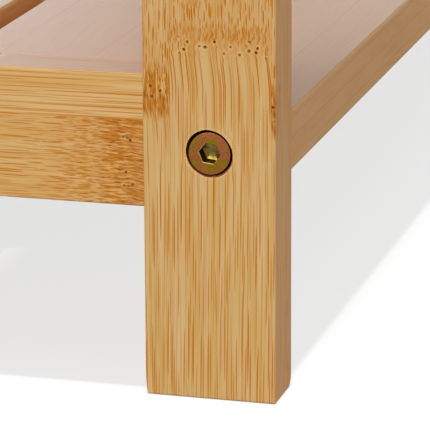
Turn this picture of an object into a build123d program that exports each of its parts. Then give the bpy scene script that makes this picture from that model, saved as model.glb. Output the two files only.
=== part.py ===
"""Entryway bench in laminated bamboo: two end frames, two slatted shoe shelves and a slatted seat.

The bench is knock-down furniture. Each end frame is glued up from two legs and three rails on wooden dowels.
Each shelf is three boards on three cross battens, held by wood screws from below. The seat is three boards that
lie over the end frames, with a front and a back apron under them. Socket bolts pass through the middle of each
leg into barrel nuts, in the ends of the outer shelf boards and of the aprons.

X runs along the bench, Y from front (-) to back (+), Z up. The origin is on the floor, under the middle.
All sizes are in millimetres.
"""

from build123d import *
import os

os.makedirs("parts", exist_ok=True)

# ---------------------------------------------------------------- end frames
frame_length = 890.0  # over the outer faces of the two end frames
frame_depth = 285.0  # over the outer edges of the front and back legs
leg_width = 30.0
leg_thickness = 14.0
leg_height = 436.0  # from the floor to the underside of the seat
rail_height = 30.0
rail_thickness = 12.0  # its outer face is flush with the legs
lower_rail_bottom = 43.5
middle_rail_bottom = 228.0
frame_edge = 0.4  # sanded rounding of the long edges
foot_edge = 1.0  # rounding of the outer edge that stands on the floor
foot_inner_edge = 3.5  # larger rounding of the foot's inner edge

# ---------------------------------------------------------------- shelves
board_count = 3
board_gap = 7.0
shelf_thickness = 14.0
shelf_lift = 6.0  # underside of the boards above the underside of their end rails
shelf_inset = 0.5  # outer boards behind the outer edges of the legs
shelf_edge = 0.8  # rounding of the boards' long edges

batten_width = 30.0
batten_thickness = 12.0
batten_setback = 16.0  # ends of the shelf battens inside the outer edges of the legs
batten_end_space = 100.0  # from the inner face of a leg to the middle of an end batten
batten_edge = 1.0

# ---------------------------------------------------------------- seat
seat_thickness = 14.0
seat_overhang = 5.0  # past the end frames, on all four sides
seat_edge = 3.0  # rounding of the upper edges
seat_under_edge = 1.0
seat_corner = 8.0  # rounding of the seat's four corners, seen from above
apron_height = 45.0
apron_thickness = 14.0
apron_edge = 0.8

# ---------------------------------------------------------------- bolts and barrel nuts
fit_gap = 0.1  # radial clearance of every pin, nut and screw in its hole

bolt_radius = 3.0  # M6
bolt_length = 50.0  # under the head
bolt_head_radius = 4.75
bolt_head_height = 4.7
bolt_edge = 0.35
bolt_recess = 0.3  # top of the head below the leg's face
bolt_bore_gap = 0.45  # radial clearance of the head in its counterbore
bolt_hole_gap = 0.4  # radial clearance of the shank in the wood
bolt_end_space = 2.0
bolt_past_nut = 4.0  # tip of the bolt past the far side of the nut
socket_flats = 4.0
socket_depth = 3.0
socket_cone = 0.9  # drill point at the bottom of the socket

nut_radius = 5.0
nut_length = 10.0
nut_slot_width = 1.4
nut_slot_depth = 1.0

# ---------------------------------------------------------------- dowels
dowel_radius = 3.0
dowel_edge = 0.7
pin_end_space = 0.5  # free space past the end of a dowel or the point of a screw
frame_dowel_in_leg = 8.0
frame_dowel_in_rail = 16.0
frame_dowel_margin = 7.0  # from the rail's edge to the dowel's axis
shelf_dowel_in_rail = 7.0
shelf_dowel_in_board = 15.0
shelf_dowel_margin = 20.0  # from the board's edge to the dowel's axis
apron_dowel_in_leg = 8.0
apron_dowel_in_apron = 16.0
apron_dowel_margin = 8.5  # from the apron's edge to the dowel's axis
seat_dowel_in_apron = 14.0
seat_dowel_in_board = 8.0
seat_dowel_count = 4  # in each apron
seat_dowel_end_space = 60.0  # from the inner face of a leg to the first dowel

# ---------------------------------------------------------------- wood screws
screw_radius = 1.6
screw_head_radius = 3.5
screw_length = 22.0
screw_point = 4.0
screw_recess_width = 0.9
screw_recess_reach = 2.0
screw_recess_depth = 1.4
screw_margin = 14.0  # from the edge of a board or the end of a batten to the screw

# ---------------------------------------------------------------- sizes that follow
leg_face_x = frame_length / 2
leg_inner_x = leg_face_x - leg_thickness
rail_inner_x = leg_face_x - rail_thickness
leg_axis_y = (frame_depth - leg_width) / 2
rail_end_y = frame_depth / 2 - leg_width
shelf_edge_y = frame_depth / 2 - shelf_inset
shelf_board_width = (2 * shelf_edge_y - (board_count - 1) * board_gap) / board_count
seat_edge_x = leg_face_x + seat_overhang
seat_edge_y = frame_depth / 2 + seat_overhang
seat_board_width = (2 * seat_edge_y - (board_count - 1) * board_gap) / board_count
top_rail_bottom = leg_height - rail_height
apron_bottom = leg_height - apron_height
apron_axis_z = leg_height - apron_height / 2
apron_inner_y = leg_axis_y - apron_thickness / 2
batten_end_y = frame_depth / 2 - batten_setback
bolt_bore_depth = bolt_head_height + bolt_recess
bolt_reach = bolt_length + bolt_bore_depth - leg_thickness  # into the board or apron
nut_x = leg_inner_x - (bolt_reach - bolt_past_nut - nut_radius)

ends = {"left": -1, "right": 1}
sides = {"front": -1, "back": 1}
board_places = [f"{i + 1}" for i in range(board_count)] if board_count != 3 else ["front", "middle", "back"]
batten_places = {"left": -1, "centre": 0, "right": 1}
shelf_rails = {"lower": lower_rail_bottom, "middle": middle_rail_bottom}
rail_levels = {**shelf_rails, "top": top_rail_bottom}
shelf_bottoms = {level: bottom + shelf_lift for level, bottom in shelf_rails.items()}
bolt_levels = {level: bottom + shelf_thickness / 2 for level, bottom in shelf_bottoms.items()}
bolt_levels["top"] = apron_axis_z
batten_xs = {name: place * (leg_inner_x - batten_end_space) for name, place in batten_places.items()}


def board_centres(width):
    """Y of the middle of each board, when boards of this width lie a gap apart."""
    return [(i - (board_count - 1) / 2) * (width + board_gap) for i in range(board_count)]


def pin_plane(point, direction, x_dir=None):
    """A plane on the axis of a pin, with its Z along the given direction."""
    if x_dir is None:
        x_dir = (1, 0, 0) if direction[0] == 0 else (0, 0, 1)
    return Plane(origin=point, x_dir=x_dir, z_dir=direction)


def turned(planes):
    """The same planes facing the other way, for the holes on the far side of a joint."""
    return [Location(plane) * Location((0, 0, 0), (180, 0, 0)) for plane in planes]


def save(piece, name):
    """Labels a finished piece and writes its STEP file."""
    piece.part.label = name
    export_step(piece.part, f"parts/{name}.step")


# ---------------------------------------------------------------- places of the fasteners
def frame_dowel_planes(end, level):
    """Planes at the two ends of a rail of an end frame, with Z out of the rail."""
    middle = rail_levels[level] + rail_height / 2
    reach = rail_height / 2 - frame_dowel_margin
    x = end * (leg_face_x - rail_thickness / 2)
    return [
        pin_plane((x, side * rail_end_y, middle + up * reach), (0, side, 0))
        for side in sides.values()
        for up in (-1, 1)
    ]


def shelf_dowel_planes(level, end):
    """Planes on the inner face of an end rail, with Z out of the ends of the shelf boards."""
    centres = board_centres(shelf_board_width)
    reach = shelf_board_width / 2 - shelf_dowel_margin
    inner = [centre + way * reach for centre in centres[1:-1] for way in (-1, 1)]
    z = bolt_levels[level]
    ys = [centres[0] + reach, *inner, centres[-1] - reach]
    return [pin_plane((end * rail_inner_x, y, z), (end, 0, 0)) for y in ys]


def apron_dowel_planes(end, side):
    """Planes on the inner face of a leg, with Z out of the end of the apron."""
    reach = apron_height / 2 - apron_dowel_margin
    return [
        pin_plane((end * leg_inner_x, side * leg_axis_y, apron_axis_z + up * reach), (end, 0, 0))
        for up in (-1, 1)
    ]


def seat_dowel_planes(side):
    """Planes on the upper edge of an apron, with Z up into the seat board."""
    reach = leg_inner_x - seat_dowel_end_space
    spots = [reach * (2 * i / (seat_dowel_count - 1) - 1) for i in range(seat_dowel_count)]
    return [pin_plane((x, side * leg_axis_y, leg_height), (0, 0, 1)) for x in spots]


def bolt_plane(level, end, side):
    """The plane on the outer face of a leg where a bolt goes in, with Z out of the leg."""
    return pin_plane((end * leg_face_x, side * leg_axis_y, bolt_levels[level]), (end, 0, 0))


def nut_plane(level, end, side):
    """The plane through the middle of a barrel nut, with Z out of its hole and X along the bolt."""
    opening = (0, -side, 0) if level == "top" else (0, 0, -1)
    return pin_plane((end * nut_x, side * leg_axis_y, bolt_levels[level]), opening, x_dir=(1, 0, 0))


def screw_planes(x, ys, underside):
    """Planes on the underside of a batten or a board, with Z down."""
    return [pin_plane((x, y, underside), (0, 0, -1)) for y in ys]


def screw_ys(batten_end, width):
    """Y of the screws in a batten: two in each board that it carries."""
    spots = []
    for centre in board_centres(width):
        low = max(centre - width / 2, -batten_end) + screw_margin
        high = min(centre + width / 2, batten_end) - screw_margin
        spots += [low, high]
    return spots


shelf_screw_ys = screw_ys(batten_end_y, shelf_board_width)
seat_screw_ys = screw_ys(apron_inner_y, seat_board_width)


def bore_for_bolts(level, side, thickness):
    """Bores both ends of a board or apron for a bolt and its barrel nut; used inside the board's block."""
    for end in ends.values():
        with Locations(pin_plane((end * leg_inner_x, side * leg_axis_y, bolt_levels[level]), (end, 0, 0))):
            Hole(bolt_radius + bolt_hole_gap, bolt_reach + bolt_end_space)
        with Locations(nut_plane(level, end, side).offset(thickness / 2)):
            Hole(nut_radius + fit_gap, (thickness + nut_length) / 2 + fit_gap)


# ---------------------------------------------------------------- wooden pieces
def make_leg(end, side):
    """A leg: counterbored for its bolts, bored for the dowels of its rails and of the apron."""
    with BuildPart() as leg:
        with Locations((end * (leg_face_x - leg_thickness / 2), side * leg_axis_y, 0)):
            Box(leg_thickness, leg_width, leg_height, align=(Align.CENTER, Align.CENTER, Align.MIN))
        across = leg.faces().sort_by(Axis.Z)[0].edges().filter_by(Axis.Y).sort_by(Axis.X)
        outer_edge, inner_edge = across if end < 0 else reversed(across)
        fillet(inner_edge, foot_inner_edge)
        fillet(outer_edge, foot_edge)
        fillet(leg.edges().filter_by(Axis.Z), frame_edge)
        with Locations(*[bolt_plane(level, end, side) for level in bolt_levels]):
            CounterBoreHole(bolt_radius + bolt_hole_gap, bolt_head_radius + bolt_bore_gap, bolt_bore_depth)
        joints = [p for level in rail_levels for p in frame_dowel_planes(end, level)]
        with Locations(*turned([p for p in joints if p.origin.Y * side > 0])):
            Hole(dowel_radius + fit_gap, frame_dowel_in_leg + pin_end_space)
        with Locations(*turned(apron_dowel_planes(end, side))):
            Hole(dowel_radius + fit_gap, apron_dowel_in_leg + pin_end_space)
    return leg


def make_end_rail(end, level):
    """A rail of an end frame; the two lower ones are bored for the dowels of a shelf."""
    with BuildPart() as rail:
        with Locations((end * (leg_face_x - rail_thickness / 2), 0, rail_levels[level])):
            Box(rail_thickness, 2 * rail_end_y, rail_height, align=(Align.CENTER, Align.CENTER, Align.MIN))
        fillet(rail.edges().filter_by(Axis.Y), frame_edge)
        with Locations(*frame_dowel_planes(end, level)):
            Hole(dowel_radius + fit_gap, frame_dowel_in_rail + pin_end_space)
        if level in shelf_rails:
            with Locations(*turned(shelf_dowel_planes(level, end))):
                Hole(dowel_radius + fit_gap, shelf_dowel_in_rail + pin_end_space)
    return rail


def shelf_board_spans(low, high):
    """Spans of a board in Y, each with the board's half length there: between the legs or the rails."""
    spans = [
        (-shelf_edge_y, -rail_end_y, leg_inner_x),
        (-rail_end_y, rail_end_y, rail_inner_x),
        (rail_end_y, shelf_edge_y, leg_inner_x),
    ]
    clipped = [(max(start, low), min(stop, high), reach) for start, stop, reach in spans]
    return [span for span in clipped if span[1] > span[0]]


def make_shelf_board(level, centre_y):
    """A shelf board; the outer ones are stepped round the legs and take the bolts in their ends."""
    bottom = shelf_bottoms[level]
    half = shelf_board_width / 2
    with BuildPart() as board:
        with BuildSketch(Plane.XY.offset(bottom)):
            for start, stop, reach in shelf_board_spans(centre_y - half, centre_y + half):
                with Locations((0, (start + stop) / 2)):
                    Rectangle(2 * reach, stop - start)
        extrude(amount=shelf_thickness)
        fillet(board.edges().filter_by(Axis.X).sort_by(SortBy.LENGTH)[-4:], shelf_edge)
        dowels = [p for end in ends.values() for p in shelf_dowel_planes(level, end)]
        with Locations(*[p for p in dowels if abs(p.origin.Y - centre_y) < half]):
            Hole(dowel_radius + fit_gap, shelf_dowel_in_board + pin_end_space)
        for side in sides.values():
            if abs(side * leg_axis_y - centre_y) < half:
                bore_for_bolts(level, side, shelf_thickness)
        ys = [y for y in shelf_screw_ys if abs(y - centre_y) < half]
        with Locations(*[p for x in batten_xs.values() for p in screw_planes(x, ys, bottom)]):
            Hole(screw_radius + fit_gap, screw_length - batten_thickness + pin_end_space)
    return board


def make_batten(x, end_y, top_z, ys):
    """A batten under the boards, with countersunk screw holes from below."""
    with BuildPart() as batten:
        with Locations((x, 0, top_z)):
            Box(batten_width, 2 * end_y, batten_thickness, align=(Align.CENTER, Align.CENTER, Align.MAX))
        under = batten.faces().sort_by(Axis.Z)[0]
        fillet(under.edges().filter_by(Axis.Y), batten_edge)
        with Locations(*screw_planes(x, ys, top_z - batten_thickness)):
            CounterSinkHole(screw_radius + fit_gap, screw_head_radius + fit_gap, counter_sink_angle=90)
    return batten


def make_apron(side):
    """A board on edge under the seat, between the legs: bored for bolts, barrel nuts and dowels."""
    with BuildPart() as apron:
        with Locations((0, side * leg_axis_y, apron_bottom)):
            Box(2 * leg_inner_x, apron_thickness, apron_height, align=(Align.CENTER, Align.CENTER, Align.MIN))
        fillet(apron.edges().filter_by(Axis.X).group_by(Axis.Z)[0], apron_edge)
        bore_for_bolts("top", side, apron_thickness)
        with Locations(*[p for end in ends.values() for p in apron_dowel_planes(end, side)]):
            Hole(dowel_radius + fit_gap, apron_dowel_in_apron + pin_end_space)
        with Locations(*seat_dowel_planes(side)):
            Hole(dowel_radius + fit_gap, seat_dowel_in_apron + pin_end_space)
    return apron


def make_seat_board(centre_y):
    """A seat board: round at the seat's corners and along its upper edges, bored from below."""
    half = seat_board_width / 2
    with BuildPart() as board:
        with BuildSketch(Plane.XY.offset(leg_height)):
            with Locations((0, centre_y)):
                Rectangle(2 * seat_edge_x, seat_board_width)
        extrude(amount=seat_thickness)
        upright = board.edges().filter_by(Axis.Z)
        corners = [edge for edge in upright if abs(edge.center().Y) > seat_edge_y - board_gap]
        if corners:
            fillet(corners, seat_corner)
        fillet(board.faces().sort_by(Axis.Z)[-1].edges(), seat_edge)
        fillet(board.faces().sort_by(Axis.Z)[0].edges(), seat_under_edge)
        dowels = [p for side in sides.values() for p in seat_dowel_planes(side)]
        above = [p for p in dowels if abs(p.origin.Y - centre_y) < half]
        if above:
            with Locations(*turned(above)):
                Hole(dowel_radius + fit_gap, seat_dowel_in_board + pin_end_space)
        ys = [y for y in seat_screw_ys if abs(y - centre_y) < half]
        with Locations(*[p for x in batten_xs.values() for p in screw_planes(x, ys, leg_height)]):
            Hole(screw_radius + fit_gap, screw_length - batten_thickness + pin_end_space)
    return board


# ---------------------------------------------------------------- fasteners, each made once about its own axis
with BuildPart() as bolt:
    # Local frame: Z out of the leg, with the leg's outer face at Z = 0.
    with Locations((0, 0, -bolt_recess)):
        Cylinder(bolt_head_radius, bolt_head_height, align=(Align.CENTER, Align.CENTER, Align.MAX))
    chamfer(bolt.edges().group_by(Axis.Z)[-1], bolt_edge)
    with Locations((0, 0, -bolt_bore_depth)):
        Cylinder(bolt_radius, bolt_length, align=(Align.CENTER, Align.CENTER, Align.MAX))
    chamfer(bolt.edges().group_by(Axis.Z)[0], 2 * bolt_edge)
    with BuildSketch(Plane.XY.offset(-bolt_recess)):
        RegularPolygon(socket_flats / 2, 6, major_radius=False)
    extrude(amount=-socket_depth, mode=Mode.SUBTRACT)
    with Locations((0, 0, -bolt_recess - socket_depth)):
        Cone(
            0.0,
            socket_flats / 2,
            socket_cone,
            align=(Align.CENTER, Align.CENTER, Align.MAX),
            mode=Mode.SUBTRACT,
        )

with BuildPart() as barrel_nut:
    # Local frame: Z out of the nut's hole, with the bolt's axis along X through the origin.
    Cylinder(nut_radius, nut_length)
    chamfer(barrel_nut.edges().filter_by(GeomType.CIRCLE), bolt_edge)
    with Locations((0, 0, nut_length / 2)):
        Box(
            2 * nut_radius,
            nut_slot_width,
            nut_slot_depth,
            align=(Align.CENTER, Align.CENTER, Align.MAX),
            mode=Mode.SUBTRACT,
        )
    with Locations(Plane.YZ.offset(nut_radius)):
        Hole(bolt_radius + fit_gap)

with BuildPart() as screw:
    # Local frame: Z out of the batten, with the head's face at Z = 0.
    with BuildSketch(Plane.XZ):
        with BuildLine():
            Polyline(
                (0, 0),
                (screw_head_radius, 0),
                (screw_radius, screw_radius - screw_head_radius),
                (screw_radius, screw_point - screw_length),
                (0, -screw_length),
                close=True,
            )
        make_face()
    revolve(axis=Axis.Z)
    for turn in (0, 90):
        Box(
            2 * screw_recess_reach,
            screw_recess_width,
            screw_recess_depth,
            rotation=(0, 0, turn),
            align=(Align.CENTER, Align.CENTER, Align.MAX),
            mode=Mode.SUBTRACT,
        )


def make_group(fastener, planes):
    """The same fastener at each plane, as separate solids."""
    with BuildPart() as group:
        with Locations(*planes):
            add(fastener.part)
    return group


def make_dowels(planes, length_out, length_in):
    """Dowels at joints: length_out past each plane along its Z, and length_in behind it."""
    with BuildPart() as dowel:
        with Locations((0, 0, length_out)):
            Cylinder(dowel_radius, length_out + length_in, align=(Align.CENTER, Align.CENTER, Align.MAX))
        chamfer(dowel.edges().filter_by(GeomType.CIRCLE), dowel_edge)
    return make_group(dowel, planes)


# ---------------------------------------------------------------- end frames
for end_name, end in ends.items():
    for side_name, side in sides.items():
        save(make_leg(end, side), f"leg_{end_name}_{side_name}")
    for level in rail_levels:
        save(make_end_rail(end, level), f"{level}_end_rail_{end_name}")
    joints = [p for level in rail_levels for p in frame_dowel_planes(end, level)]
    frame_dowels = make_dowels(joints, frame_dowel_in_leg, frame_dowel_in_rail)
    save(frame_dowels, f"end_frame_dowels_{end_name}")

# ---------------------------------------------------------------- shelves
for level, bottom in shelf_bottoms.items():
    for place, y in zip(board_places, board_centres(shelf_board_width)):
        save(make_shelf_board(level, y), f"{level}_shelf_board_{place}")
    for place, x in batten_xs.items():
        save(make_batten(x, batten_end_y, bottom, shelf_screw_ys), f"{level}_shelf_batten_{place}")
    underside = bottom - batten_thickness
    screws = [p for x in batten_xs.values() for p in screw_planes(x, shelf_screw_ys, underside)]
    save(make_group(screw, screws), f"{level}_shelf_screws")
    joints = [p for end in ends.values() for p in shelf_dowel_planes(level, end)]
    save(make_dowels(joints, shelf_dowel_in_rail, shelf_dowel_in_board), f"{level}_shelf_dowels")

# ---------------------------------------------------------------- seat
for place, y in zip(board_places, board_centres(seat_board_width)):
    save(make_seat_board(y), f"seat_board_{place}")
for place, x in batten_xs.items():
    save(make_batten(x, apron_inner_y, leg_height, seat_screw_ys), f"seat_batten_{place}")
screws = [p for x in batten_xs.values() for p in screw_planes(x, seat_screw_ys, leg_height - batten_thickness)]
save(make_group(screw, screws), "seat_screws")
for side_name, side in sides.items():
    save(make_apron(side), f"seat_apron_{side_name}")
joints = [p for side in sides.values() for p in seat_dowel_planes(side)]
save(make_dowels(joints, seat_dowel_in_board, seat_dowel_in_apron), "seat_dowels")
joints = [p for end in ends.values() for side in sides.values() for p in apron_dowel_planes(end, side)]
save(make_dowels(joints, apron_dowel_in_leg, apron_dowel_in_apron), "apron_dowels")

# ---------------------------------------------------------------- bolts and barrel nuts
for level in bolt_levels:
    corners = [(end, side) for end in ends for side in sides]
    for end, side in corners:
        save(make_group(bolt, [bolt_plane(level, ends[end], sides[side])]), f"{level}_bolt_{end}_{side}")
    nuts = [nut_plane(level, ends[end], sides[side]) for end, side in corners]
    save(make_group(barrel_nut, nuts), f"{level}_barrel_nuts")
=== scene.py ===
"""Looks of the bamboo entryway bench.

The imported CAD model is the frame. The four legs and the twelve bolts are replaced by finer surfaces,
every other piece keeps its CAD mesh and gets its finish here. Lengths named in mm are turned into
metres with MM. X runs along the bench, Y from front to back, Z up.
"""

import math

import bmesh
import bpy
import numpy as np
from mathutils import Matrix, Vector


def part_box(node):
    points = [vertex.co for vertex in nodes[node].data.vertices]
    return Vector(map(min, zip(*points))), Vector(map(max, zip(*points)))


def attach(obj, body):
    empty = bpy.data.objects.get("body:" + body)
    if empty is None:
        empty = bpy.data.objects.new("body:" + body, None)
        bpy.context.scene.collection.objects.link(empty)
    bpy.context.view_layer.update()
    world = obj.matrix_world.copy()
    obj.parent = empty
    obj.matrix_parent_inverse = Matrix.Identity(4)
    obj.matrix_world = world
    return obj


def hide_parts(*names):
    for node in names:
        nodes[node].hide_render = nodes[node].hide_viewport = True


MM = 0.001

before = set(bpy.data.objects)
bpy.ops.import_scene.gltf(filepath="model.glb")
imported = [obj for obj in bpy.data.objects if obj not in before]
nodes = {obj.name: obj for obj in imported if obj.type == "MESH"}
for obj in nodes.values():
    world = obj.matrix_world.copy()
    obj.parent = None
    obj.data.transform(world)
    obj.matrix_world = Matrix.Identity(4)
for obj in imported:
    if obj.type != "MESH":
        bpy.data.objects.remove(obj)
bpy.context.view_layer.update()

ENDS = {"left": 1, "right": -1}  # which way along X the inside of the bench lies
SIDES = {"front": 1, "back": -1}  # which way along Y the inside of the bench lies
LEVELS = ("lower", "middle", "top")


# ---------------------------------------------------------------- node helpers


class Wire:
    """A number running through a node tree. Each arithmetic step on it adds one Math node."""

    def __init__(self, tree, socket):
        self.tree = tree
        self.socket = socket

    def _math(self, operation, *values):
        node = self.tree.nodes.new("ShaderNodeMath")
        node.operation = operation
        for slot, value in zip(node.inputs, values):
            plug(self.tree, value, slot)
        return Wire(self.tree, node.outputs[0])

    def __add__(self, other):
        return self._math("ADD", self, other)

    def __radd__(self, other):
        return self._math("ADD", other, self)

    def __sub__(self, other):
        return self._math("SUBTRACT", self, other)

    def __rsub__(self, other):
        return self._math("SUBTRACT", other, self)

    def __mul__(self, other):
        return self._math("MULTIPLY", self, other)

    def __truediv__(self, other):
        return self._math("DIVIDE", self, other)

    def floor(self):
        return self._math("FLOOR", self)

    def round(self):
        return self._math("ROUND", self)

    def abs(self):
        return self._math("ABSOLUTE", self)

    def exp(self):
        return self._math("EXPONENT", self)

    def cos(self):
        return self._math("COSINE", self)

    def least(self, other):
        return self._math("MINIMUM", self, other)

    def most(self, other):
        return self._math("MAXIMUM", self, other)

    def step(self, start, end):
        """0 before start and 1 after end, easing in between. Start may be the larger one."""
        node = self.tree.nodes.new("ShaderNodeMapRange")
        node.interpolation_type = "SMOOTHSTEP"
        plug(self.tree, self, node.inputs["Value"])
        plug(self.tree, start, node.inputs["From Min"])
        plug(self.tree, end, node.inputs["From Max"])
        return Wire(self.tree, node.outputs["Result"])


def plug(tree, value, slot):
    """Joins a wire or socket to a node's input, or writes a plain value on it."""
    if isinstance(value, Wire):
        value = value.socket
    if isinstance(value, bpy.types.NodeSocket):
        tree.links.new(value, slot)
    else:
        slot.default_value = value


def bundle(tree, x, y, z):
    """Three numbers as one vector."""
    node = tree.nodes.new("ShaderNodeCombineXYZ")
    for slot, value in zip(node.inputs, (x, y, z)):
        plug(tree, value, slot)
    return node.outputs[0]


def parts_of(tree, vector):
    """The three numbers of a vector."""
    node = tree.nodes.new("ShaderNodeSeparateXYZ")
    plug(tree, vector, node.inputs[0])
    return [Wire(tree, out) for out in node.outputs]


def mix(tree, share, first, second):
    """first at share 0 and second at share 1, for colours."""
    node = tree.nodes.new("ShaderNodeMix")
    node.data_type = "RGBA"
    share_in, first_in, second_in = (slot for slot in node.inputs if slot.enabled)
    plug(tree, share, share_in)
    plug(tree, first, first_in)
    plug(tree, second, second_in)
    return next(out for out in node.outputs if out.enabled)


def brighten(tree, colour, factor):
    """A colour times a number."""
    node = tree.nodes.new("ShaderNodeVectorMath")
    node.operation = "SCALE"
    plug(tree, colour, node.inputs[0])
    plug(tree, factor, node.inputs["Scale"])
    return node.outputs[0]


def clouds(tree, place, detail=2.0, roughness=0.5):
    """Soft noise from 0 to 1 at a place already scaled to the size of its clouds."""
    node = tree.nodes.new("ShaderNodeTexNoise")
    node.inputs["Scale"].default_value = 1.0
    node.inputs["Detail"].default_value = detail
    node.inputs["Roughness"].default_value = roughness
    plug(tree, place, node.inputs["Vector"])
    return Wire(tree, node.outputs["Fac"])


def cells(tree, place, distance="EUCLIDEAN"):
    """Flat scattered cells, one in each unit square of the place's first two numbers: the distance to
    the nearest centre, and three numbers of each cell's own."""
    node = tree.nodes.new("ShaderNodeTexVoronoi")
    node.voronoi_dimensions = "2D"
    node.distance = distance
    node.inputs["Scale"].default_value = 1.0
    plug(tree, place, node.inputs["Vector"])
    colour = tree.nodes.new("ShaderNodeSeparateColor")
    tree.links.new(node.outputs["Color"], colour.inputs[0])
    return Wire(tree, node.outputs["Distance"]), [Wire(tree, out) for out in colour.outputs]


def new_group(name, inputs, outputs):
    """An empty node group with named sockets, its input sockets as a dict, and its output node."""
    group = bpy.data.node_groups.new(name, "ShaderNodeTree")
    kinds = {"number": "NodeSocketFloat", "vector": "NodeSocketVector", "colour": "NodeSocketColor"}
    for label, kind, value in inputs:
        socket = group.interface.new_socket(name=label, in_out="INPUT", socket_type=kinds[kind])
        if value is not None:
            socket.default_value = value
    for label, kind in outputs:
        group.interface.new_socket(name=label, in_out="OUTPUT", socket_type=kinds[kind])
    source = group.nodes.new("NodeGroupInput")
    sockets = {label: source.outputs[label] for label, _, _ in inputs}
    return group, sockets, group.nodes.new("NodeGroupOutput")


def place_group(tree, group, values):
    """One use of a node group, with its inputs set or joined."""
    node = tree.nodes.new("ShaderNodeGroup")
    node.node_tree = group
    for label, value in values.items():
        plug(tree, value, node.inputs[label])
    return node


def new_material(name):
    """An empty node material, its tree and its Principled shader."""
    material = bpy.data.materials.new(name)
    material.use_nodes = True
    tree = material.node_tree
    return material, tree, tree.nodes["Principled BSDF"]


def place_in_mm(tree):
    """The place on the piece as a vector in mm, and the way its surface faces there."""
    source = tree.nodes.new("ShaderNodeTexCoord")
    scaled = tree.nodes.new("ShaderNodeMapping")
    scaled.inputs["Scale"].default_value = (1 / MM, 1 / MM, 1 / MM)
    plug(tree, source.outputs["Object"], scaled.inputs["Vector"])
    return scaled.outputs[0], source.outputs["Normal"]


def add_bump(tree, shader, height, strength, relief):
    """Gives the shader's surface a bump from a height. relief is what a height of 1 stands for, in mm."""
    bump = tree.nodes.new("ShaderNodeBump")
    bump.inputs["Strength"].default_value = strength
    bump.inputs["Distance"].default_value = relief * MM
    plug(tree, height, bump.inputs["Height"])
    plug(tree, bump.outputs[0], shader.inputs["Normal"])


def colour(red, green, blue):
    """A colour given as screen values from 0 to 255, turned into the linear values that shaders use."""
    screen = np.array((red, green, blue)) / 255
    linear = np.where(screen <= 0.04045, screen / 12.92, ((screen + 0.055) / 1.055) ** 2.4)
    return (*linear.tolist(), 1.0)


# ---------------------------------------------------------------- laminated bamboo

LAYER_SLANT = 0.30  # how far the streaks shift across a strip for each mm through it
LAYER_NODE_STEP = 83.0  # mm between the nodes of one layer and those of the next
STRIP_SHIFT = 57.0  # most cells that a strip's pattern is moved by, so that no two strips look alike
DOT_SPACING = 2.3  # mm between the dots on a node line
DOT_LINE = 2.1  # mm, half the width of the band that holds a node's dots
PORE_SPACING = 0.55  # mm between the pores of a sawn end


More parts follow.
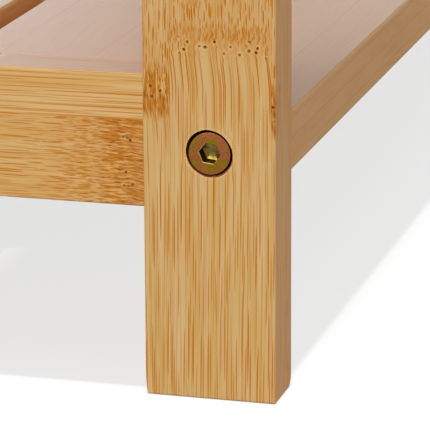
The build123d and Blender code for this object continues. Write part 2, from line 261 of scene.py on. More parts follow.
def bamboo_pattern():
    """Strips of split bamboo glued side by side and in layers.

    Each strip has brown fibre streaks along it and a node every so often. Past the node the streaks
    are short and crowded, before it they lean; on the node line there are dark dots in pale rings,
    and every other strip is stained brown around it. Place and Facing are given as along, across and
    through the strips, Place in mm, and Upward is how far the face looks up. Widths, spacings,
    pitches, lengths and reaches are in mm. Node Step and Node Curve move a strip's nodes by the first
    times the strip's number and the second times its square. Contrast is how strongly the fibres
    stand out, Crowding how many streaks' lengths are squeezed in past a node, and Dots Missing the
    share of dots left out. Lacquer comes out as Gloss On Top on faces that look up, where it levels
    out thick and glossy, and as nothing on upright and lower ones.
    """
    group, given, result = new_group(
        "laminated bamboo",
        [
            ("Place", "vector", None),
            ("Facing", "vector", None),
            ("Upward", "number", 0.0),
            ("Strip Width", "number", 23.0),
            ("Layer Thickness", "number", 4.67),
            ("Node Spacing", "number", 230.0),
            ("First Node", "number", 0.0),
            ("Node Step", "number", 61.0),
            ("Node Curve", "number", 17.0),
            ("Fibre Pitch", "number", 0.55),
            ("Fibre Length", "number", 31.0),
            ("Crowding", "number", 4.0),
            ("Crowding Reach", "number", 14.0),
            ("Dash Reach", "number", 6.5),
            ("Contrast", "number", 1.0),
            ("Dots Missing", "number", 0.16),
            ("Gloss On Top", "number", 1.0),
            ("Seed", "number", 0.0),
            ("Ground", "colour", colour(218, 189, 133)),
            ("Ripe Ground", "colour", colour(212, 178, 112)),
            # painted light: the layers' sides take a warmer, brighter ground of their own, set to how they
            # are lit and how they reflect at a slant
            ("Side Ground With Painted Light", "colour", colour(236, 167, 105)),
            # painted sheen: a pinkish-grey ground on faces that look up, the tone of the reflection they
            # catch at a slant
            ("Top Ground With Painted Sheen", "colour", colour(198, 160, 134)),
            ("Fibre", "colour", colour(196, 120, 12)),
            ("Node Wash", "colour", colour(206, 127, 8)),
            ("Node Stain", "colour", colour(138, 60, 6)),
            ("Node Dot", "colour", colour(104, 26, 2)),
            ("Node Ring", "colour", colour(232, 200, 126)),
        ],
        [("Color", "colour"), ("Roughness", "number"), ("Height", "number"), ("Lacquer", "number")],
    )
    along, across, through = parts_of(group, given["Place"])
    to_end, to_side, _ = parts_of(group, given["Facing"])
    wire = {label: Wire(group, socket) for label, socket in given.items()}

    # What kind of face this is
    sawn_end = to_end.abs().step(0.6, 0.9)
    top = wire["Upward"].step(0.90, 0.99)
    layer_side = to_side.abs().step(0.5, 0.85) * wire["Upward"].step(0.85, 0.6)
    shown = 1.0 - layer_side * 0.82  # less of the fibres shows on the layers' sides

    # Which strip and layer this is, and how far past the strip's nearest node
    strip = (across / wire["Strip Width"]).floor()
    layer = (through / wire["Layer Thickness"]).floor()
    own = group.nodes.new("ShaderNodeTexWhiteNoise")
    own.noise_dimensions = "3D"
    plug(group, bundle(group, strip, layer, wire["Seed"]), own.inputs["Vector"])
    own_tone = Wire(group, own.outputs["Value"])
    shift = own_tone * STRIP_SHIFT

    in_strip = wire["Node Step"] * strip + wire["Node Curve"] * strip * strip
    node_at = wire["First Node"] + in_strip + layer * LAYER_NODE_STEP
    turns = (along - node_at) / wire["Node Spacing"]
    nearest = turns.round()
    past = (turns - nearest) * wire["Node Spacing"]  # mm past the nearest node
    dark_strip = (strip * math.pi).cos() * -0.5 + 0.5  # 1 on every other strip, else 0

    # The fibres waver, swirl at a node and lean before it
    near = past.step(-4.5, -0.5) * past.step(6.0, 1.0) * (1.0 - dark_strip * 0.6)
    swirl = clouds(group, bundle(group, along / 1.9, across / 1.7 + shift, through / 9.0), 1.0) - 0.5
    wander = clouds(group, bundle(group, along / 60.0, across / 9.0 + shift, through / 9.0), 1.0) - 0.5
    lean = past.step(0.5, -10.0) * past.step(-105.0, -20.0) * 0.8
    bent = across + through * LAYER_SLANT + swirl * near * 1.5 + wander * 0.8 + lean

    # Streaks and dashes are thin cells drawn out along the strip and squeezed together past a node
    fading = (past.most(0.0) / wire["Crowding Reach"] * -1.0).exp()
    fresh = fading * past.step(-0.6, 0.4)
    drawn = along / wire["Fibre Length"] + (1.0 - fading + nearest) * wire["Crowding"]
    reach, (size, depth, _) = cells(group, bundle(group, drawn, bent / wire["Fibre Pitch"] + shift, 0.0))
    edge = (0.15 + size * 0.20) * (1.0 + fresh * 0.05)
    streak = reach.step(edge, edge - 0.05) * (0.60 + depth * 0.60).least(1.0)
    faint_reach, (faint_size, faint_depth, _) = cells(
        group, bundle(group, drawn * 0.7 + 31.0, bent / (wire["Fibre Pitch"] * 0.70) + shift, 0.0)
    )
    faint_edge = 0.22 + faint_size * 0.18
    faint = faint_reach.step(faint_edge, faint_edge - 0.10) * (0.15 + faint_depth * 0.45)
    lines = clouds(group, bundle(group, along / 60.0, bent / 0.40 + shift, 0.0), 1.0)
    dash_reach, (dash_size, dash_depth, _) = cells(
        group, bundle(group, along / 2.7 + 7.0, bent / 0.50 + shift, 0.0), "MANHATTAN"
    )
    dash_edge = 0.29 + dash_size * 0.24
    dash = dash_reach.step(dash_edge, dash_edge - 0.06) * (0.5 + dash_depth * 0.5)

    # The ground between the fibres, and the fibres over it
    patch = clouds(group, bundle(group, along / 40.0, across / 2.6 + shift, through / 5.0), 2.0)
    ground = mix(group, patch.step(0.35, 0.65), given["Ground"], given["Ripe Ground"])
    ground = brighten(group, ground, 0.98 + own_tone * 0.04)
    # Painted shade: the ground is darkened on rounded upper edges to take off the highlight they catch
    rounding = wire["Upward"].step(0.15, 0.5) * (1.0 - top)
    ground = brighten(group, ground, 1.0 - rounding * 0.18)
    # Painted light: the layers' sides take their own warmer, brighter ground
    ground = mix(group, layer_side * 0.65, ground, given["Side Ground With Painted Light"])
    # Painted sheen: faces that look up take a pinkish-grey ground, the tone of a slanting reflection
    ground = mix(group, top * 0.85, ground, given["Top Ground With Painted Sheen"])
    contrast = wire["Contrast"] * shown * (1.0 - top * 0.35)
    fibre = mix(group, fresh * 0.16, given["Fibre"], given["Node Stain"])
    body = mix(group, lines.step(0.46, 0.74) * 0.36 * contrast, ground, fibre)
    body = mix(group, faint * contrast, body, fibre)
    body = mix(group, streak * contrast, body, fibre)

    # Past the node a brown wash and the dashes, both with ragged ends
    ragged = past + (clouds(group, bundle(group, across / 0.5 + shift, layer * 9.0, 0.0), 1.0) - 0.5) * 7.0
    frayed = past + (clouds(group, bundle(group, along / 3.0, across / 1.3 + shift, 0.0), 2.0) - 0.5) * 4.0
    dash_zone = frayed.step(0.6, 2.2) * ragged.step(wire["Dash Reach"], wire["Dash Reach"] * 0.55)
    wash = frayed.step(-6.0, 2.6) * (0.17 + frayed.step(6.0, 3.2) * 0.20) * past.step(24.0, 8.0)
    faint_wash = past.step(-34.0, -6.0) * past.step(34.0, 14.0) * 0.06
    body = mix(group, wash.most(faint_wash) * contrast, body, given["Node Wash"])
    body = mix(group, dash * dash_zone * 0.88 * contrast, body, fibre)

    # On every other strip a blotched stain about the node, with a pale patch in it
    blotch_place = bundle(group, along / 6.0, bent / 0.6 + shift, through / 6.0)
    blotch = clouds(group, blotch_place, 3.0, 0.6).step(0.40, 0.60)
    band = ragged.step(-6.2, -3.4) * ragged.step(7.8, 3.4) * dark_strip
    body = mix(group, band * (0.34 + blotch * 0.50) * contrast, body, given["Node Wash"])
    body = mix(group, band * (blotch * 0.30 + dash * 0.55) * contrast, body, given["Node Stain"])
    pale = past.step(-1.5, 1.0) * past.step(6.5, 4.5) * blotch.step(0.35, 0.0) * dark_strip
    body = mix(group, pale * 0.60 * contrast, body, given["Node Ring"])

    # Dark dots in pale rings along the node line
    dot_along = along / DOT_SPACING + layer * 5.3 + swirl * 0.25
    dot_reach, (dot_size, dot_turn, dot_kept) = cells(
        group, bundle(group, dot_along, across / DOT_SPACING + shift, 0.0)
    )
    kept = dot_kept.step(wire["Dots Missing"], wire["Dots Missing"] + 0.04) * shown.step(0.5, 0.9)
    on_line = past.step(-DOT_LINE, 0.5 - DOT_LINE) * past.step(DOT_LINE, DOT_LINE - 0.5) * kept
    ring = dot_reach.step(0.48, 0.18) * on_line
    dot = dot_reach.step(0.15 + dot_size * 0.10, 0.10) * on_line
    body = mix(group, ring * (0.40 - dark_strip * 0.25), body, given["Node Ring"])
    body = mix(group, dot * (0.60 + dot_turn * 0.38), body, given["Node Dot"])

    # Pores of a sawn end
    pore_place = bundle(group, across / PORE_SPACING, through / PORE_SPACING, 0.0)
    pores, (pore_size, _, _) = cells(group, pore_place)
    pore = pores.step(0.25 + pore_size * 0.25, 0.12)
    cut_colour = mix(group, pore * 0.8, given["Ripe Ground"], given["Node Stain"])
    body = mix(group, sawn_end * 0.85, body, cut_colour)

    # Glue lines between strips and between layers
    joint_turns = across / wire["Strip Width"]
    layer_turns = through / wire["Layer Thickness"]
    to_joint = (joint_turns - joint_turns.round()).abs() * wire["Strip Width"]
    to_layer = (layer_turns - layer_turns.round()).abs() * wire["Layer Thickness"]
    joint = to_joint.step(0.16, 0.04).most(to_layer.step(0.14, 0.04) * 0.6)
    body = mix(group, joint * 0.32, body, given["Node Stain"])

    plug(group, body, result.inputs["Color"])
    plug(group, 0.50 + streak * 0.06 + sawn_end * 0.2, result.inputs["Roughness"])
    plug(group, streak * -0.35 - dot * 0.5 - joint * 0.6 + lines * 0.25, result.inputs["Height"])
    plug(group, top * wire["Gloss On Top"], result.inputs["Lacquer"])
    return group


bamboo = bamboo_pattern()


FRAY_START = 5.45  # mm from a bore's axis, up to where the frayed fibres are palest
FRAY_END = 6.1  # mm from the axis, where the fraying ends


def bamboo_finish(name, order, start, bores=None, **values):
    """Lacquered laminated bamboo. order names the axes along, across and through the strips, and
    start is where the first node, strip and layer begin on them, in mm. bores are the distance of
    bored holes from the middle in Y and their heights: the fibres are frayed pale round them."""
    material, tree, shader = new_material(name)
    whole_place, normal = place_in_mm(tree)
    places = parts_of(tree, whole_place)
    axes = dict(zip("XYZ", places))
    faces = dict(zip("XYZ", parts_of(tree, normal)))
    place = bundle(tree, *(axes[axis] - begin for axis, begin in zip(order, start)))
    facing = bundle(tree, *(faces[axis] for axis in order))
    grain = place_group(tree, bamboo, {"Place": place, "Facing": facing, "Upward": faces["Z"], **values})
    body = grain.outputs["Color"]
    if bores is not None:
        from_middle, heights = bores
        _, y, z = places
        sideways = y.abs() - from_middle
        nearest = (z - heights[0]).abs()
        for height in heights[1:]:
            nearest = nearest.least((z - height).abs())
        away = tree.nodes.new("ShaderNodeVectorMath")
        away.operation = "LENGTH"
        plug(tree, bundle(tree, sideways, nearest, 0.0), away.inputs[0])
        fray = clouds(tree, bundle(tree, y / 0.45, z / 0.45, 0.0), 2.0, 0.7)
        frayed = Wire(tree, away.outputs["Value"]).step(FRAY_END, FRAY_START) * fray.step(0.36, 0.60)
        body = mix(tree, frayed * 0.34, body, colour(244, 214, 150))
    plug(tree, body, shader.inputs["Base Color"])
    plug(tree, grain.outputs["Roughness"], shader.inputs["Roughness"])
    plug(tree, grain.outputs["Lacquer"], shader.inputs["Coat Weight"])
    add_bump(tree, shader, grain.outputs["Height"], strength=0.25, relief=0.04)
    shader.inputs["Specular IOR Level"].default_value = 0.06
    shader.inputs["Coat Roughness"].default_value = 0.32
    shader.inputs["Coat IOR"].default_value = 1.5
    return material


def corner(name):
    """The lowest corner of a CAD node, in mm."""
    return [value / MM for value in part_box(name)[0]]


def bolt_place(level, end, side):
    """Where a bolt's head is: the outermost X, and the Y and Z of its axis, in mm."""
    low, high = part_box(f"{level}_bolt_{end}_{side}")
    head = low.x if ENDS[end] > 0 else high.x
    return head / MM, (low.y + high.y) / 2 / MM, (low.z + high.z) / 2 / MM


# Where the nodes and the strips of each kind of piece are counted from, in mm
LEG_NODE = 80.4  # above the floor
LEG_STRIPS = -141.5  # in Y, the line between the narrow outer strip of a front leg and the next one
RAIL_NODE = -108.7  # in Y
RAIL_STRIPS = 63.1  # above the floor, the line between the two strips of a lower rail
BOARD_NODE = -205.0  # in X
BOARD_STRIPS = -153.0  # in Y
BOARD_LAYERS = 3.0  # above a board's underside, the lowest line between two layers
BATTEN_NODE = -40.0  # in Y
BATTEN_STRIPS = -331.0  # in X
APRON_START = (-120.0, 436.0, 120.5)  # node in X, strips in Z, layers in Y

finishes = {}
bolt_axes = [bolt_place(level, "left", "front") for level in LEVELS]
bores = (abs(bolt_axes[0][1]), [axis_z for _, _, axis_z in bolt_axes])
for end, inward in ENDS.items():
    finishes[f"leg_{end}"] = bamboo_finish(
        f"bamboo leg {end}",
        "ZYX",
        start=(LEG_NODE, LEG_STRIPS, corner(f"leg_{end}_front")[0]),
        bores=bores,
        **{"Strip Width": 22.9, "Node Step": 1.5, "Node Curve": -12.5, "Seed": 1.0 + inward},
    )
    finishes[f"rail_{end}"] = bamboo_finish(
        f"bamboo end rail {end}",
        "YZX",
        start=(RAIL_NODE, RAIL_STRIPS, corner(f"lower_end_rail_{end}")[0]),
        **{
            "Layer Thickness": 4.0,
            "First Node": 97.0,
            "Node Step": 97.0,
            "Node Curve": 0.0,
            "Fibre Length": 75.0,
            "Fibre Pitch": 0.42,
            "Crowding": 5.4,
            "Crowding Reach": 15.0,
            "Dash Reach": 19.0,
            "Contrast": 0.92,
            "Dots Missing": 0.55,
            "Ground": colour(224, 189, 130),
            "Ripe Ground": colour(219, 179, 110),
            # painted sheen on the rails' tops
            "Top Ground With Painted Sheen": colour(184, 152, 131),
            "Node Wash": colour(208, 134, 34),
            "Seed": 5.0 + inward,
        },
    )
deck_names = {"lower": "lower_shelf", "middle": "middle_shelf", "seat": "seat"}
for number, (level, deck) in enumerate(deck_names.items()):
    board_bottom = corner(f"{deck}_board_front")[2]
    board = {"Node Step": 28.0, "Node Curve": 0.0, "Contrast": 0.35, "Seed": 11.0 + number}
    if level == "seat":
        board["Gloss On Top"] = 0.4  # worn by sitting
        # painted sheen on the seat's tops, in a tone nearer to the legs'
        board["Top Ground With Painted Sheen"] = colour(206, 168, 124)
        board["Contrast"] = 0.6
    board_start = (BOARD_NODE, BOARD_STRIPS, board_bottom + BOARD_LAYERS)
    finishes[f"{level}_board"] = bamboo_finish(f"bamboo {level} boards", "XYZ", board_start, **board)
    finishes[f"{level}_batten"] = bamboo_finish(
        f"bamboo {level} battens",
        "YXZ",
        start=(BATTEN_NODE, BATTEN_STRIPS, corner(f"{deck}_batten_left")[2]),
        **{"Layer Thickness": 4.0, "Seed": 21.0 + number},
    )
finishes["apron"] = bamboo_finish(
    "bamboo aprons", "XZY", start=APRON_START, **{"Seed": 31.0, "Strip Width": 22.5}
)


# ---------------------------------------------------------------- metal and beech


def plating_pattern():
    """Passivated zinc: clouds of two tints, mottled finely, with a few bare scuffed specks."""
    group, given, result = new_group(
        "mottled plating",
        [
            ("Place", "vector", None),
            ("Warm Tint", "colour", colour(168, 96, 66)),
            ("Green Tint", "colour", colour(142, 126, 30)),
            ("Scuff Tint", "colour", colour(222, 206, 186)),
            ("Grain", "number", 1.4),
            ("Seed", "number", 0.0),
        ],
        [("Color", "colour"), ("Roughness", "number"), ("Height", "number")],
    )
    x, y, z = parts_of(group, given["Place"])
    seed = Wire(group, given["Seed"])
    cloud = clouds(group, bundle(group, x / 4.0 + seed, y / 2.6, z / 2.6), 5.0, 0.72)
    grit = clouds(group, bundle(group, x / 0.34, y / 0.34 + seed, z / 0.34), 2.0, 0.7)
    speck = clouds(group, bundle(group, x / 0.30, y / 0.55 + seed, z / 0.22), 1.0, 0.5)
    tint = mix(group, cloud.step(0.36, 0.62), given["Warm Tint"], given["Green Tint"])
    tint = brighten(group, tint, 1.0 + (grit - 0.5) * Wire(group, given["Grain"]))
    scuff = speck.step(0.76, 0.84)
    tint = mix(group, scuff * 0.7, tint, given["Scuff Tint"])
    plug(group, tint, result.inputs["Color"])
    plug(group, 0.34 + grit * 0.16, result.inputs["Roughness"])
    plug(group, grit, result.inputs["Height"])
    return group


plating = plating_pattern()


def plated_finish(name, warm, green, seed=0.0, polish=0.0, grain=1.4):
    """Plated steel. polish takes from the plating's roughness, grain is how much it is mottled."""
    material, tree, shader = new_material(name)
    place, _ = place_in_mm(tree)
    tints = {"Warm Tint": warm, "Green Tint": green, "Grain": grain, "Seed": seed}
    skin = place_group(tree, plating, {"Place": place, **tints})
    plug(tree, skin.outputs["Color"], shader.inputs["Base Color"])
    plug(tree, Wire(tree, skin.outputs["Roughness"]) - polish, shader.inputs["Roughness"])
    add_bump(tree, shader, skin.outputs["Height"], strength=0.3, relief=0.02)
    shader.inputs["Metallic"].default_value = 1.0
    return material


def raw_wood_finish(name, light, dark):
    """Cut or turned wood with no lacquer: fine short pores on a plain ground."""
    material, tree, shader = new_material(name)
    place, _ = place_in_mm(tree)
    x, y, z = parts_of(tree, place)
    pores = clouds(tree, bundle(tree, x / 3.0, y / 0.5, z / 0.5), 3.0, 0.6)
    plug(tree, mix(tree, pores.step(0.35, 0.65), light, dark), shader.inputs["Base Color"])
    shader.inputs["Roughness"].default_value = 0.75
    return material


finishes["yellow_zinc"] = plated_finish("yellow zinc plating", colour(148, 75, 52), colour(116, 97, 15))
# Painted shade: the socket's walls are plated in dark tints that stand in for the shade inside the socket
finishes["socket_wall_painted_shade"] = plated_finish(
    "socket walls plating with painted shade", colour(100, 48, 16), colour(86, 54, 12), 5.0
)
# Painted shade: the socket's point is plated in dark tints for the shade at the socket's bottom
finishes["socket_point_painted_shade"] = plated_finish(
    "socket point plating with painted shade", colour(80, 56, 18), colour(116, 104, 50), 3.0, polish=0.18, grain=0.5
)
# Painted highlight: the socket's broken edge is plated in bright tints as if it caught the light
finishes["socket_edge_painted_highlight"] = plated_finish(
    "socket edge plating with painted highlight", colour(184, 150, 86), colour(190, 166, 96), 4.0, polish=0.1
)
finishes["zinc"] = plated_finish("plain zinc plating", colour(196, 198, 200), colour(176, 180, 184), 7.0)
finishes["beech"] = raw_wood_finish("raw beech", colour(214, 176, 132), colour(186, 142, 98))
# Painted shade: the bored wood is much darker than the bamboo's own cut ends, standing in for the shade
# inside the bore
finishes["bore"] = raw_wood_finish("bored bamboo with painted shade", colour(140, 76, 32), colour(104, 50, 16))


# ---------------------------------------------------------------- surfaces


def grid_faces(rows, columns):
    """Quads of a grid whose columns close on themselves, as an array of four corner numbers."""
    row, column = np.meshgrid(np.arange(rows - 1), np.arange(columns), indexing="ij")
    here = row * columns + column
    beside = row * columns + (column + 1) % columns
    return np.stack((here, beside, beside + columns, here + columns), -1).reshape(-1, 4)


def closed_piece(name, rings):
    """A closed mesh from rings of points, shape (rows, columns, 3), with a flat cap on the first and
    last ring."""
    rows, columns, _ = rings.shape
    mesh = bpy.data.meshes.new(name)
    caps = [np.arange(columns)[::-1].tolist(), (np.arange(columns) + (rows - 1) * columns).tolist()]
    mesh.from_pydata(rings.reshape(-1, 3).tolist(), [], grid_faces(rows, columns).tolist() + caps)
    tidy = bmesh.new()
    tidy.from_mesh(mesh)
    bmesh.ops.remove_doubles(tidy, verts=tidy.verts, dist=1e-7)
    bmesh.ops.recalc_face_normals(tidy, faces=tidy.faces)
    tidy.to_mesh(mesh)
    tidy.free()
    piece = bpy.data.objects.new(name, mesh)
    bpy.context.scene.collection.objects.link(piece)
    return piece


def shade(piece, sharp_above=40.0):
    """Smooth shading with edges above an angle in degrees kept sharp and flat faces kept flat."""
    piece.data.shade_smooth()
    piece.data.set_sharp_from_angle(angle=math.radians(sharp_above))
    flat = piece.modifiers.new("flat faces stay flat", "WEIGHTED_NORMAL")
    flat.keep_sharp = True


# ---------------------------------------------------------------- legs

EDGE = 0.36  # mm, rounding of a leg's long edges on its outer side
EDGE_RAIL = 0.14  # mm, rounding of the long edges beside the rails
FOOT = 0.55  # mm, rounding of the foot's outer edges
FOOT_INNER = 3.2  # mm, rounding of the foot's inner edge
TAPER = 0.40  # mm, how far the side beside the rail runs in towards the foot
TAPER_HEIGHT = 6.5  # mm
EDGE_STEPS = 6


def drawn_in(height, radius):
    """How far a rounding of this radius has drawn a side in at a height above the foot:
    radius less the square root of radius squared less (radius - height) squared."""
    below = np.clip(radius - height, 0, radius)
    return radius - np.sqrt(radius**2 - below**2)


def leg_rings(width, thickness, height):
    """Rounded rectangles up the leg, drawn in at the foot. The first number of a point runs from the
    wide outer face inwards, the second from the narrow outer face inwards, the third up."""
    arc = np.linspace(0, math.pi / 2, 9)
    levels = np.unique(
        np.round(
            np.concatenate(
                (
                    FOOT * (1 - np.cos(arc)),
                    FOOT_INNER * (1 - np.cos(arc)),
                    np.linspace(0, TAPER_HEIGHT, 8),
                    height - EDGE + EDGE * np.sin(arc),
                )
            ),
            5,
        )
    )
    top = height - levels
    taper = TAPER * (1 - np.minimum(levels / TAPER_HEIGHT, 1)) ** 2
    sides = [
        drawn_in(levels, FOOT) + drawn_in(top, EDGE),
        thickness - drawn_in(levels, FOOT_INNER) - drawn_in(top, EDGE),
        drawn_in(levels, FOOT) + drawn_in(top, EDGE),
        width - drawn_in(levels, FOOT) - drawn_in(top, EDGE) - taper,
    ]
    near_a, far_a, near_b, far_b = (side[:, None] for side in sides)
    turn = np.linspace(0, math.pi / 2, EDGE_STEPS + 1)
    quarters = np.concatenate([turn + quarter * math.pi / 2 for quarter in range(4)])
    centre_a = np.repeat([1, 0, 0, 1], EDGE_STEPS + 1)
    centre_b = np.repeat([1, 1, 0, 0], EDGE_STEPS + 1)
    edge = np.where(centre_b == 1, EDGE_RAIL, EDGE)
    a = np.where(centre_a == 1, far_a - edge, near_a + edge) + edge * np.cos(quarters)
    b = np.where(centre_b == 1, far_b - edge, near_b + edge) + edge * np.sin(quarters)
    up = np.broadcast_to(levels[:, None], a.shape)
    return np.stack((a, b, up), -1)


BORE_RADIUS = 5.10  # mm
BORE_DEPTH = 5.0  # mm
RIM = 0.06  # mm, broken edge of the bore
RIM_WEAR = 0.36  # mm, how far the rim is worn back on one side
WANDER = 0.34  # mm, how far the drill wandered to the other side
WANDER_TURN = 45  # degrees round the lowest bore
WANDER_STEP = 70  # degrees from one bore of a leg to the next
RIPPLE = 0.02  # mm, nine small waves round the wall
WEAR_DEPTH = 0.9  # mm, down to where the rim is worn
OVERCUT = 0.6  # mm, how far the cutter stands out of the face and widens there
SHANK_HOLE = 3.4  # mm, radius
OVERRUN = 1.0  # mm, how far the cutter runs out of the leg's inner face
BORE_STEPS = 128


def bore_rings(shank_radius, through, wander_turn):
    """A stepped bore: its rim, the wall of the counterbore, its floor, and the hole for the shank.
    The first number of a point is the depth below the face. Towards wander_turn the wall's radius
    grows by WANDER times the square of the cosine of the angle, and on the opposite side the rim
    slopes back by RIM_WEAR times that square."""
    around = np.linspace(0, 2 * math.pi, BORE_STEPS, endpoint=False)
    lean = np.cos(around - wander_turn)
    wander = WANDER * np.clip(lean, 0, 1) ** 2 + RIPPLE * np.sin(around * 9 + 1.0)
    wear = RIM_WEAR * np.clip(-lean, 0, 1) ** 2
    rows = [
        (-OVERCUT, BORE_RADIUS + RIM + OVERCUT, 1.0, 1.2),
        (0.0, BORE_RADIUS + RIM, 1.0, 1.0),
        (RIM, BORE_RADIUS, 1.0, 0.9),
        (WEAR_DEPTH, BORE_RADIUS, 1.0, 0.0),
        (BORE_DEPTH, BORE_RADIUS, 1.0, 0.0),
        (BORE_DEPTH, shank_radius, 0.0, 0.0),
        (through, shank_radius, 0.0, 0.0),
    ]
    depth, radius, wandered, worn = (np.array(column)[:, None] for column in zip(*rows))
    radius = radius + wandered * wander + worn * wear
    depth = np.broadcast_to(depth, radius.shape)
    return np.stack((depth, radius * np.cos(around), radius * np.sin(around)), -1)


def cut(piece, cutters):
    """Takes the cutters out of the piece, keeping their own material on the cut faces."""
    for cutter in cutters:
        bore = piece.modifiers.new("bore", "BOOLEAN")
        bore.object = cutter
        bore.operation = "DIFFERENCE"
        bore.solver = "EXACT"
        bore.material_mode = "TRANSFER"
    evaluated = piece.evaluated_get(bpy.context.evaluated_depsgraph_get())
    mesh = bpy.data.meshes.new_from_object(evaluated)
    piece.modifiers.clear()
    piece.data = mesh
    for cutter in cutters:
        bpy.data.objects.remove(cutter)


for end, inward in ENDS.items():
    for side, backward in SIDES.items():
        name = f"leg_{end}_{side}"
        low, high = (np.array(point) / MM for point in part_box(name))
        outer_x = low[0] if inward > 0 else high[0]
        outer_y = low[1] if backward > 0 else high[1]
        rings = leg_rings(high[1] - low[1], high[0] - low[0], high[2] - low[2])
        placed = np.stack(
            (outer_x + inward * rings[..., 0], outer_y + backward * rings[..., 1], low[2] + rings[..., 2]), -1
        )
        leg = closed_piece(f"{name}_bored", placed * MM)
        leg.data.materials.append(finishes[f"leg_{end}"])
        cutters = []
        for number, level in enumerate(LEVELS):
            _, axis_y, axis_z = bolt_place(level, end, side)
            through = high[0] - low[0] + OVERRUN
            hole = bore_rings(SHANK_HOLE, through, math.radians(WANDER_TURN + WANDER_STEP * number))
            hole = np.stack(
                (outer_x + inward * hole[..., 0], axis_y + hole[..., 1], axis_z + hole[..., 2]), -1
            )
            cutter = closed_piece(f"bore_{name}_{level}", hole * MM)
            cutter.data.materials.append(finishes["bore"])
            cutters.append(cutter)
        cut(leg, cutters)
        shade(leg)
        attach(leg, "root")
        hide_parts(name)


# ---------------------------------------------------------------- bolts

BOLT_STEPS = 96
HEAD_RADIUS = 4.75  # mm
HEAD_RISE = 0.26  # mm, how much nearer to the leg's face than in the CAD part the head's face lies
HEAD_HEIGHT = 4.96  # mm
HEAD_EDGE = 0.14  # mm
HEAD_DOME = 0.03  # mm, fall of the head's face towards its edge
FACE_RADII = (2.9, 3.7)  # mm, where the face begins to fall, and where it has fallen by two fifths
NECK = 0.2  # mm, fillet under the head
TIP = 0.8  # mm, chamfer at the end of the shank
SOCKET_FLATS = 4.25  # mm
SOCKET_DEPTH = 3.3  # mm
SOCKET_POINT = 0.85  # mm, the six-sided point below the socket's walls
SOCKET_MOUTH = 0.11  # mm, broken edge of the socket on each side
SOCKET_REACH = 0.62 * SOCKET_FLATS  # mm from the axis, just past the corners of the socket's mouth
SHANK_RADIUS = 3.0  # mm
FIRST_TURN = 7.9  # degrees, how the first bolt's socket is turned
TURN_STEP = 23  # degrees from one bolt to the next


def bolt_rings(length, turn):
    """A hexagon-socket bolt from the middle of its socket outwards and down to its tip. A ring is
    round, or six-sided with radius flats / 2 / cos(angle from the middle of the nearest flat)."""
    around = np.linspace(0, 2 * math.pi, BOLT_STEPS, endpoint=False)
    from_flat = (around - turn) % (math.pi / 3) - math.pi / 6
    six_sided = 1 / np.cos(from_flat)
    flats = SOCKET_FLATS / 2
    edge = np.linspace(0, math.pi / 2, 6)
    rows = [
        (SOCKET_DEPTH + SOCKET_POINT, 0.0, 1.0),
        (SOCKET_DEPTH, flats, 1.0),
        (SOCKET_MOUTH, flats, 1.0),
        (0.0, flats + SOCKET_MOUTH, 1.0),
        (0.0, FACE_RADII[0], 0.0),
        (HEAD_DOME * 0.4, FACE_RADII[1], 0.0),
    ]
    fallen = HEAD_DOME + HEAD_EDGE * (1 - np.cos(edge))
    drawn = HEAD_RADIUS - HEAD_EDGE * (1 - np.sin(edge))
    rows += [(depth, radius, 0.0) for depth, radius in zip(fallen, drawn)]
    rows += [
        (HEAD_HEIGHT, HEAD_RADIUS, 0.0),
        (HEAD_HEIGHT, SHANK_RADIUS + NECK, 0.0),
        (HEAD_HEIGHT + NECK, SHANK_RADIUS, 0.0),
        (length - TIP, SHANK_RADIUS, 0.0),
        (length, SHANK_RADIUS - TIP, 0.0),
    ]
    depth, radius, hexagon = (np.array(column)[:, None] for column in zip(*rows))
    radius = radius * (1 + hexagon * (six_sided - 1))
    depth = np.broadcast_to(depth, radius.shape)
    return np.stack((depth, radius * np.cos(around), radius * np.sin(around)), -1)


def colour_socket(mesh, head_x, inward, axis_y, axis_z):
    """Gives the second finish, dark with painted shade, to the socket's walls, the third, also with painted
    shade, to its point and the fourth, bright with a painted highlight, to its broken edge: the faces nearer
    to the axis than the socket's corners, told apart by their depth."""
    middles = np.empty(len(mesh.polygons) * 3)
    mesh.polygons.foreach_get("center", middles)
    x, y, z = (middles.reshape(-1, 3) / MM).T
    depth = (x - head_x) * inward
    near_axis = np.hypot(y - axis_y, z - axis_z) < SOCKET_REACH
    inside = near_axis & (depth < SOCKET_DEPTH + SOCKET_POINT)
    steps = [inside & (depth > start) for start in (0.01, SOCKET_MOUTH, SOCKET_DEPTH - 0.01)]
    finish = np.select(steps[::-1], (2, 1, 3), 0)
    mesh.polygons.foreach_set("material_index", finish.astype(np.int32))


count = 0
for level in LEVELS:
    for end, inward in ENDS.items():
        for side in SIDES:
            name = f"{level}_bolt_{end}_{side}"
            low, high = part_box(name)
            head_x, axis_y, axis_z = bolt_place(level, end, side)
            head_x -= inward * HEAD_RISE
            turn = math.radians(FIRST_TURN + TURN_STEP * count)
            rings = bolt_rings((high.x - low.x) / MM + HEAD_RISE, turn)
            count += 1
            placed = np.stack(
                (head_x + inward * rings[..., 0], axis_y + rings[..., 1], axis_z + rings[..., 2]), -1
            )
            bolt = closed_piece(f"{name}_plated", placed * MM)
            for finish in ("yellow_zinc", "socket_wall_painted_shade", "socket_point_painted_shade", "socket_edge_painted_highlight"):
                bolt.data.materials.append(finishes[finish])
            colour_socket(bolt.data, head_x, inward, axis_y, axis_z)
            shade(bolt, 30.0)
            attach(bolt, "root")
            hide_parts(name)


# ---------------------------------------------------------------- finishes of the CAD pieces


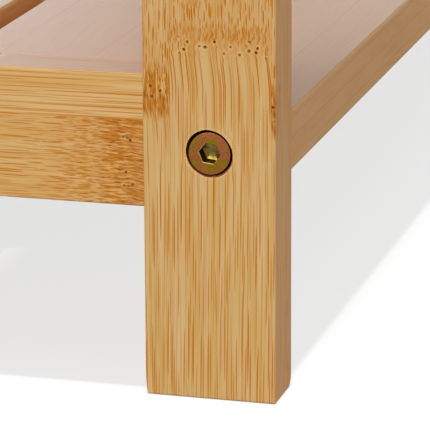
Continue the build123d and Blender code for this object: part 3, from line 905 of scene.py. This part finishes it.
def finish_of(name):
    """The finish of a CAD node, from its name."""
    level = name.split("_")[0]
    end = "left" if "_left" in name else "right"
    if name.endswith(("dowels", "dowels_left", "dowels_right")):
        return finishes["beech"]
    if "screws" in name or "barrel_nuts" in name:
        return finishes["zinc"]
    if "_bolt_" in name:
        return finishes["yellow_zinc"]
    if "apron" in name:
        return finishes["apron"]
    if "_rail_" in name:
        return finishes[f"rail_{end}"]
    if "_batten_" in name:
        return finishes[f"{level}_batten"]
    if "_board_" in name:
        return finishes[f"{level}_board"]
    return finishes[f"leg_{end}"]


for name, node in nodes.items():
    for slot in node.material_slots:
        slot.material = finish_of(name)


# ---------------------------------------------------------------- floor, world, lamps

WORLD_LIGHT = 0.575  # of a white sky, on the object
FLOOR_SHARE = 0.22  # how much of the light that lands on it the floor gives back
FLOOR_WHITE = 0.745  # own white of the floor where it is seen directly
FLOOR_HALF = 30.0  # m, half the floor's width


def seen_directly(tree):
    """1 for camera, glossy and transmission rays, else 0."""
    path = tree.nodes.new("ShaderNodeLightPath")
    camera, glossy, transmission = (
        Wire(tree, path.outputs[label]) for label in ("Is Camera Ray", "Is Glossy Ray", "Is Transmission Ray")
    )
    return camera.most(glossy).most(transmission)


def pale_floor():
    """A wide pale floor that shows white, keeps the bench's shadow, and is clear from below."""
    material, tree, shader = new_material("pale floor")
    tree.nodes.remove(shader)
    diffuse = tree.nodes.new("ShaderNodeBsdfDiffuse")
    diffuse.inputs["Color"].default_value = (FLOOR_SHARE, FLOOR_SHARE, FLOOR_SHARE, 1)
    glow = tree.nodes.new("ShaderNodeEmission")
    plug(tree, seen_directly(tree) * FLOOR_WHITE, glow.inputs["Strength"])
    both = tree.nodes.new("ShaderNodeAddShader")
    tree.links.new(diffuse.outputs[0], both.inputs[0])
    tree.links.new(glow.outputs[0], both.inputs[1])
    clear = tree.nodes.new("ShaderNodeBsdfTransparent")
    side = tree.nodes.new("ShaderNodeMixShader")
    tree.links.new(tree.nodes.new("ShaderNodeNewGeometry").outputs["Backfacing"], side.inputs["Fac"])
    tree.links.new(both.outputs[0], side.inputs[1])
    tree.links.new(clear.outputs[0], side.inputs[2])
    tree.links.new(side.outputs[0], tree.nodes["Material Output"].inputs["Surface"])
    mesh = bpy.data.meshes.new("floor")
    corners = [(x * FLOOR_HALF, y * FLOOR_HALF, 0) for x, y in ((-1, -1), (1, -1), (1, 1), (-1, 1))]
    mesh.from_pydata(corners, [], [(0, 1, 2, 3)])
    mesh.materials.append(material)
    floor = bpy.data.objects.new("floor", mesh)
    bpy.context.scene.collection.objects.link(floor)
    return floor


def white_world():
    """A white surround at a plain level, white where it is seen directly."""
    world = bpy.data.worlds.new("white surround")
    world.use_nodes = True
    bpy.context.scene.world = world
    tree = world.node_tree
    background = tree.nodes["Background"]
    background.inputs["Color"].default_value = (1, 1, 1, 1)
    plug(tree, WORLD_LIGHT + seen_directly(tree) * (1 - WORLD_LIGHT), background.inputs["Strength"])


def sun(name, direction, level, spread, receiver, tint=(1, 1, 1)):
    """A distant lamp shining from a direction. At level 1 a white face square to it shows white.
    spread is how wide the lamp looks, in degrees, and receiver holds what it lands on."""
    lamp = bpy.data.lights.new(name, "SUN")
    lamp.color = tint
    lamp.energy = level * math.pi
    lamp.angle = math.radians(spread)
    held = bpy.data.objects.new(name, lamp)
    bpy.context.scene.collection.objects.link(held)
    held.rotation_euler = Vector(direction).to_track_quat("Z", "Y").to_euler()
    held.light_linking.receiver_collection = receiver
    return held


def only(name, objects, state):
    """A collection that a lamp lands on: these objects alone, or all but these objects."""
    group = bpy.data.collections.new(name)
    for number, obj in enumerate(objects):
        group.objects.link(obj)
        group.collection_objects[number].light_linking.link_state = state
    return group


floor = pale_floor()
white_world()
on_floor = only("floor only", [floor], "INCLUDE")
on_bench = only("all but the floor", [floor], "EXCLUDE")
# The end rails count as shelves here, because their upper edges stand beside the boards
shelves = [node for name, node in nodes.items() if "shelf_board_" in name or "_rail_" in name]
on_shelves = only("shelves only", shelves, "INCLUDE")
sun("overhead on the floor", (-0.105, -0.026, 1.0), 0.86, 2.6, on_floor)
sun("overhead", (-0.105, -0.028, 1.0), 0.18, 30.0, on_bench)
sun("key", (-0.80, 0.26, 0.55), 0.68, 35.0, on_bench)
sky = sun("sky behind", (0.93, 0.26, 0.30), 0.22, 60.0, on_shelves, (0.80, 0.89, 1.0))
sky.light_linking.blocker_collection = on_floor  # no piece of the bench shades another from it


# ---------------------------------------------------------------- camera

CAMERA_PLACE = Vector((-1.10604, -0.31421, 0.23668))
CAMERA_TURN = -74.3274  # degrees round the bench from the front
CAMERA_RISE = 15.7733  # degrees above the horizon
CAMERA_ROLL = -0.2728  # degrees
CAMERA_LENS = 272.8  # mm on a 36 mm sensor

camera = bpy.data.cameras.new("camera")
camera.lens = CAMERA_LENS
camera.sensor_width = 36.0
camera.clip_start = 0.01
camera.clip_end = 200.0
viewer = bpy.data.objects.new("camera", camera)
bpy.context.scene.collection.objects.link(viewer)
turn, rise, roll = (math.radians(angle) for angle in (CAMERA_TURN, CAMERA_RISE, CAMERA_ROLL))
back = Vector((math.sin(turn) * math.cos(rise), -math.cos(turn) * math.cos(rise), math.sin(rise)))
right = Vector((math.cos(turn), math.sin(turn), 0))
up = back.cross(right)
rolled_right = right * math.cos(roll) + up * math.sin(roll)
rolled_up = up * math.cos(roll) - right * math.sin(roll)
turned = Matrix((rolled_right, rolled_up, back)).transposed().to_4x4()
viewer.matrix_world = Matrix.Translation(CAMERA_PLACE) @ turned
bpy.context.scene.camera = viewer
bpy.context.scene.view_settings.view_transform = "Standard"
